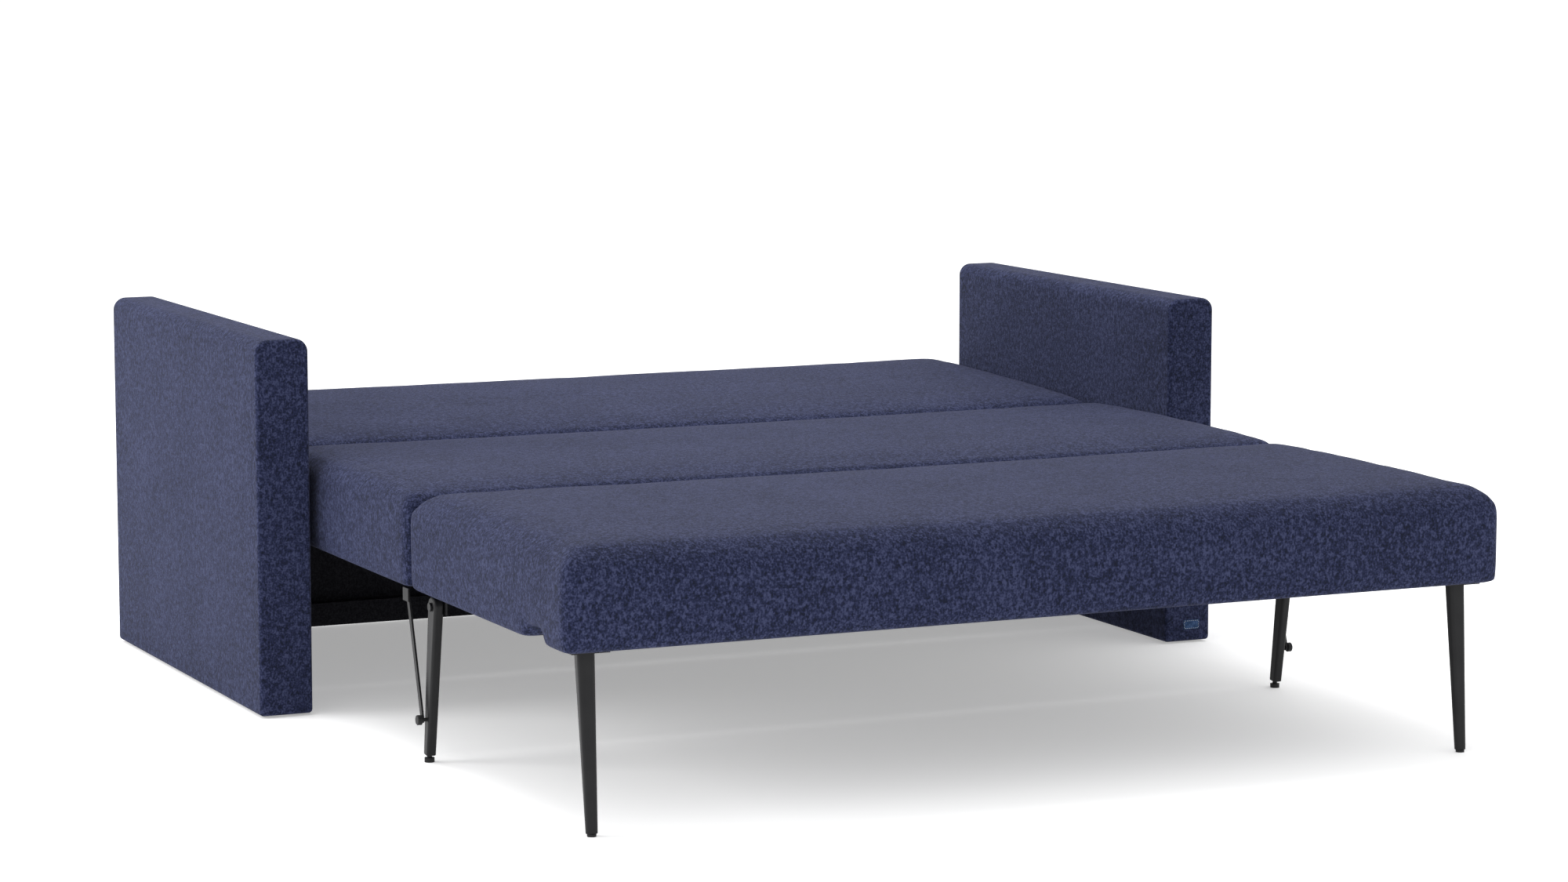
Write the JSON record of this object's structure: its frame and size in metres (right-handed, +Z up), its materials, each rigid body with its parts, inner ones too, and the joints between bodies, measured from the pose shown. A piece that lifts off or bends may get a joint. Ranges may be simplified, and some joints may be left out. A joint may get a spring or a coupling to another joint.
{
  "type": "sofa bed",
  "caption": "Three-section upholstered sofa bed opened flat between two slab arms, on splayed black legs; the mattress folds up into a seat and back.",
  "frame": {"origin": "on the floor, at the middle of the opened bed's footprint", "axes": "+Y from the foot of the bed towards the head end, +X to the right seen from the foot, +Z up"},
  "size_m": [1.806, 1.981, 0.628],
  "materials": {
    "upholstery": "matte melange weave",
    "lining": "matte black lining cloth",
    "black_metal": "semi-matte powder coat",
    "steel": "zinc plated",
    "plastic": "matte",
    "label_cloth": "woven tape"
  },
  "bodies": {
    "base": {"arm_left": "upholstery", "arm_pad_front_left": "plastic", "arm_pad_front_right": "plastic", "arm_pad_rear_left": "plastic", "arm_pad_rear_right": "plastic", "arm_right": "upholstery", "blank_label": "label_cloth", "plinth_rail": "lining", "rear_panel": "lining", "runner_left": "steel", "runner_right": "steel"},
    "seat": {"front_foot_left": "plastic", "front_foot_right": "plastic", "front_leg_left": "black_metal", "front_leg_plate_left": "black_metal", "front_leg_plate_right": "black_metal", "front_leg_right": "black_metal", "front_rail": "upholstery", "mid_leg_bracket_left": "black_metal", "mid_leg_bracket_right": "black_metal", "mid_leg_pin_left": "black_metal", "mid_leg_pin_right": "black_metal", "seat_board": "upholstery", "seat_cushion": "upholstery"},
    "head_section": {"head_board": "upholstery", "head_cushion": "upholstery", "head_glide_left": "plastic", "head_glide_right": "plastic", "hinge_leaf_head_left": "steel", "hinge_leaf_head_right": "steel"},
    "middle_section": {"hinge_leaf_middle_left": "steel", "hinge_leaf_middle_right": "steel", "hinge_pin_left": "steel", "hinge_pin_right": "steel", "middle_board": "upholstery", "middle_cushion": "upholstery", "stay_anchor_left": "black_metal", "stay_anchor_right": "black_metal"},
    "mid_leg_left_body": {"mid_foot_left": "plastic", "mid_leg_left": "black_metal", "stay_knob_left": "plastic"},
    "mid_leg_right_body": {"mid_foot_right": "plastic", "mid_leg_right": "black_metal", "stay_knob_right": "plastic"},
    "stay_left": {"stay_bar_left": "black_metal"},
    "stay_right": {"stay_bar_right": "black_metal"}
  },
  "joints": [
    {"name": "seat_slide", "type": "slide", "parent": "base", "child": "seat", "axis": [0, 1, 0], "range_m": [0, 0.896]},
    {"name": "middle_fold", "type": "hinge", "parent": "seat", "child": "middle_section", "pos_m": [0, -0.3225, 0.424], "axis": [1, 0, 0], "range_deg": [0, 80]},
    {"name": "head_fold", "type": "hinge", "parent": "middle_section", "child": "head_section", "pos_m": [0, 0.3215, 0.264], "axis": [1, 0, 0], "range_deg": [-162, 0]},
    {"name": "mid_leg_fold_left", "type": "hinge", "parent": "seat", "child": "mid_leg_left_body", "pos_m": [-0.77, -0.385, 0.252], "axis": [1, 0, 0], "range_deg": [0, 82]},
    {"name": "stay_turn_left", "type": "hinge", "parent": "mid_leg_left_body", "child": "stay_left", "pos_m": [-0.77, -0.35942, 0.07], "axis": [1, 0, 0], "range_deg": [-88, 0]},
    {"name": "mid_leg_fold_right", "type": "hinge", "parent": "seat", "child": "mid_leg_right_body", "pos_m": [0.77, -0.385, 0.252], "axis": [1, 0, 0], "range_deg": [0, 82]},
    {"name": "stay_turn_right", "type": "hinge", "parent": "mid_leg_right_body", "child": "stay_right", "pos_m": [0.77, -0.35942, 0.07], "axis": [1, 0, 0], "range_deg": [-88, 0]}
  ],
  "couplings": [
    {"joint": "middle_fold", "follows": "seat_slide", "rad_per_m": 1.5583},
    {"joint": "head_fold", "follows": "seat_slide", "rad_per_m": -3.1556},
    {"joint": "mid_leg_fold_left", "follows": "seat_slide", "rad_per_m": 1.5973},
    {"joint": "stay_turn_left", "follows": "seat_slide", "rad_per_m": -1.7142},
    {"joint": "mid_leg_fold_right", "follows": "seat_slide", "rad_per_m": 1.5973},
    {"joint": "stay_turn_right", "follows": "seat_slide", "rad_per_m": -1.7142}
  ]
}
